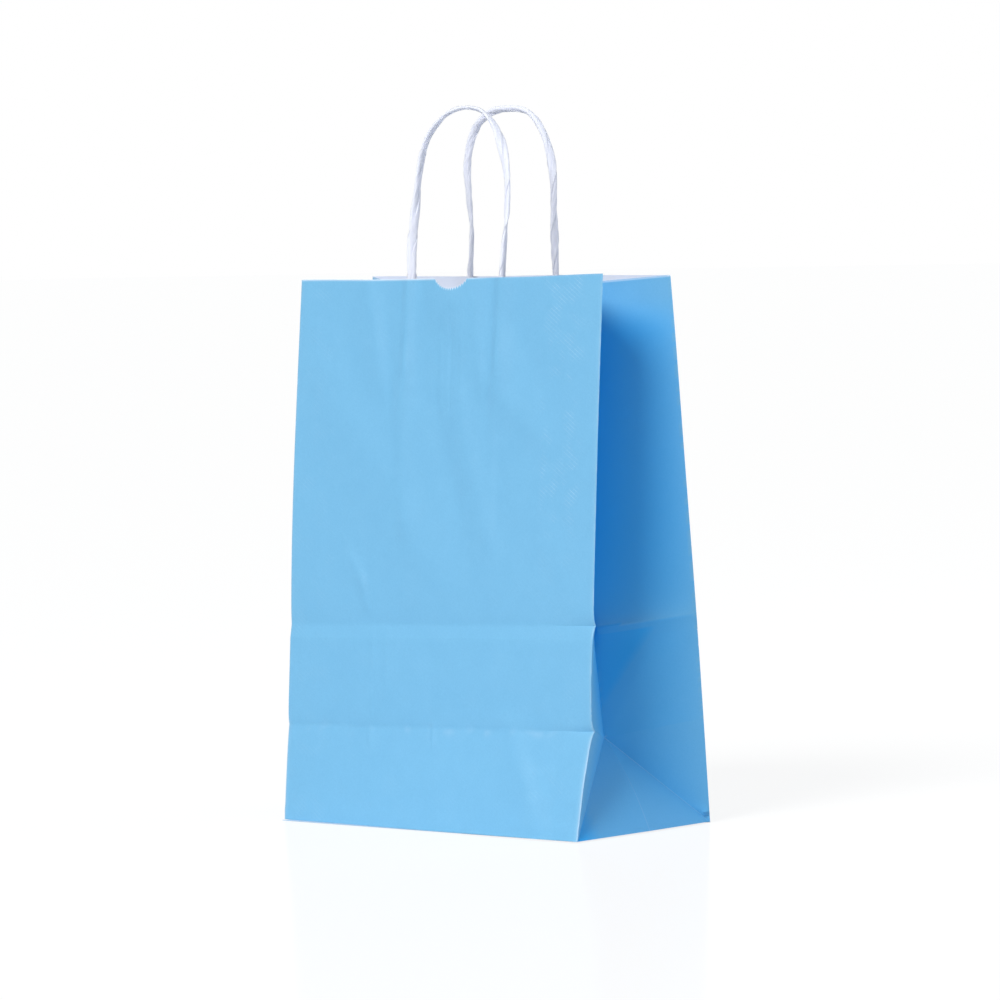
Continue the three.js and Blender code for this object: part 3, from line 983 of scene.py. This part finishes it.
def white_paper(name, hex_colour, roughness, scatter=0):
    """Bleached white kraft, matt, with the faint cloudiness of its fibres. Light spreads inside
    thick rolled paper as far as scatter, in metres."""
    material, tree = new_material(name)
    place = add_node(tree, "ShaderNodeTexCoord").outputs["Object"]
    grain = add_node(tree, "ShaderNodeTexNoise", Vector=place, Scale=WHITE_GRAIN, Detail=3,
                     Roughness=0.6)
    bump = add_node(tree, "ShaderNodeBump", Strength=0.15, Distance=GRAIN_HEIGHT,
                    Height=grain.outputs["Fac"])
    shader = add_node(tree, "ShaderNodeBsdfPrincipled", Base_Color=linear(hex_colour),
                      Roughness=roughness, IOR=1.45, Normal=bump.outputs[0])
    if scatter:
        shader.inputs["Subsurface Weight"].default_value = 0.8
        shader.inputs["Subsurface Radius"].default_value = (1, 1, 1)
        shader.inputs["Subsurface Scale"].default_value = scatter
    finish_material(tree, shader)
    return material


# Floor, backdrop and lights
def add_floor():
    """A glossy white table. The camera sees it glow evenly, with the bag's shadow on it and a
    faint mirror image that fades with the distance from the bag. Other rays meet matt white."""
    bpy.ops.mesh.primitive_plane_add(size=60, location=(0, 0, 0))
    floor = bpy.context.object
    floor.name = "floor"
    material, tree = new_material("white_table")
    path = add_node(tree, "ShaderNodeLightPath")
    glow = add_node(tree, "ShaderNodeEmission", Color=(1, 1, 1, 1), Strength=0.885)
    grey = add_node(tree, "ShaderNodeBsdfDiffuse", Color=linear("#70706f"))
    lit = add_node(tree, "ShaderNodeAddShader", i0=glow.outputs[0], i1=grey.outputs[0])
    mirror = add_node(tree, "ShaderNodeBsdfGlossy", Color=(1, 1, 1, 1), Roughness=0.12)
    place = add_node(tree, "ShaderNodeTexCoord").outputs["Object"]
    far = add_node(tree, "ShaderNodeVectorMath", {"operation": "LENGTH"}, i0=place)
    shine = add_node(tree, "ShaderNodeMapRange", {"interpolation_type": "SMOOTHSTEP"},
                     Value=far.outputs["Value"], From_Min=0.05, From_Max=0.95,
                     To_Min=0.075, To_Max=0)
    polished = add_node(tree, "ShaderNodeMixShader", i0=shine.outputs[0], i1=lit.outputs[0],
                        i2=mirror.outputs[0])
    matt = add_node(tree, "ShaderNodeBsdfDiffuse", Color=linear("#f4f5f8"))
    choose = add_node(tree, "ShaderNodeMixShader", i0=path.outputs["Is Camera Ray"],
                      i1=matt.outputs[0], i2=polished.outputs[0])
    finish_material(tree, choose)
    floor.data.materials.append(material)


def add_world():
    """White where the camera and reflections look, and a dim bluish fill for the rest."""
    world = bpy.data.worlds.new("studio")
    bpy.context.scene.world = world
    world.use_nodes = True
    tree = world.node_tree
    tree.nodes.clear()
    path = add_node(tree, "ShaderNodeLightPath")
    seen = add_node(tree, "ShaderNodeMath", {"operation": "MAXIMUM"}, i0=path.outputs["Is Camera Ray"],
                    i1=path.outputs["Is Glossy Ray"])
    fill = add_node(tree, "ShaderNodeBackground", Color=(0.72, 0.84, 1, 1), Strength=0.15)
    white = add_node(tree, "ShaderNodeBackground", Color=(1, 1, 1, 1), Strength=1)
    choose = add_node(tree, "ShaderNodeMixShader", i0=seen.outputs[0],
                      i1=fill.outputs[0], i2=white.outputs[0])
    output = tree.nodes.new("ShaderNodeOutputWorld")
    tree.links.new(choose.outputs[0], output.inputs["Surface"])


def add_lamp(name, kind, energy, colour):
    lamp = bpy.data.objects.new(name, bpy.data.lights.new(name, kind))
    bpy.context.scene.collection.objects.link(lamp)
    lamp.data.energy = energy
    lamp.data.color = colour
    return lamp


def add_softbox(name, azimuth, elevation, distance, size, energy, colour):
    """A square area light aimed at the middle of the bag."""
    lamp = add_lamp(name, "AREA", energy, colour)
    lamp.data.shape = "SQUARE"
    lamp.data.size = size
    middle = Matrix.Translation((0, 0, HEIGHT * MM / 2))
    away = Matrix.Translation((0, 0, distance))
    lamp.matrix_world = middle @ aimed(azimuth, elevation) @ away


def add_sun(name, azimuth, elevation, angle, energy, colour):
    """A distant soft lamp, which lights the table evenly as far as it reaches."""
    lamp = add_lamp(name, "SUN", energy, colour)
    lamp.data.angle = math.radians(angle)
    lamp.matrix_world = aimed(azimuth, elevation)


def light_studio():
    add_world()
    add_sun("key_lamp", azimuth=5, elevation=36, angle=26, energy=2.83, colour=(1, 0.995, 0.985))
    add_softbox("backdrop_glow", azimuth=130, elevation=20, distance=1.5, size=1.3, energy=6.5,
                colour=(0.87, 0.935, 1))
    add_softbox("top_softbox", azimuth=60, elevation=72, distance=1.5, size=1.2, energy=2.4,
                colour=(0.94, 0.97, 1))


add_camera()
light_studio()
add_floor()

kraft = printed_kraft()
inside_white = white_paper("bleached_paper_inside", "#e2e9f8", 0.7)
cut_edge = white_paper("cut_paper_edge", "#f2f5fa", 0.8)
make_bag_body([kraft, inside_white, cut_edge])
cord_white = white_paper("twisted_cord_paper", "#e6e8f3", 0.6, 0.0012)
patch_white = white_paper("glued_patch_paper", "#e9ebf3", 0.75)
make_handle("front_handle", FRONT_MOUTH, FRONT_LOOP, FRONT_SQUASH, 3.7, cord_white)
make_handle("back_handle", BACK_MOUTH, BACK_LOOP, BACK_SQUASH, 51.2, cord_white)
make_patches("front", front_point, FRONT_FOLDS, FRONT_MOUTH, FRONT_LOOP, patch_white)
make_patches("back", back_point, BACK_FOLDS, BACK_MOUTH, BACK_LOOP, patch_white)

scene = bpy.context.scene
scene.view_settings.view_transform = "Standard"
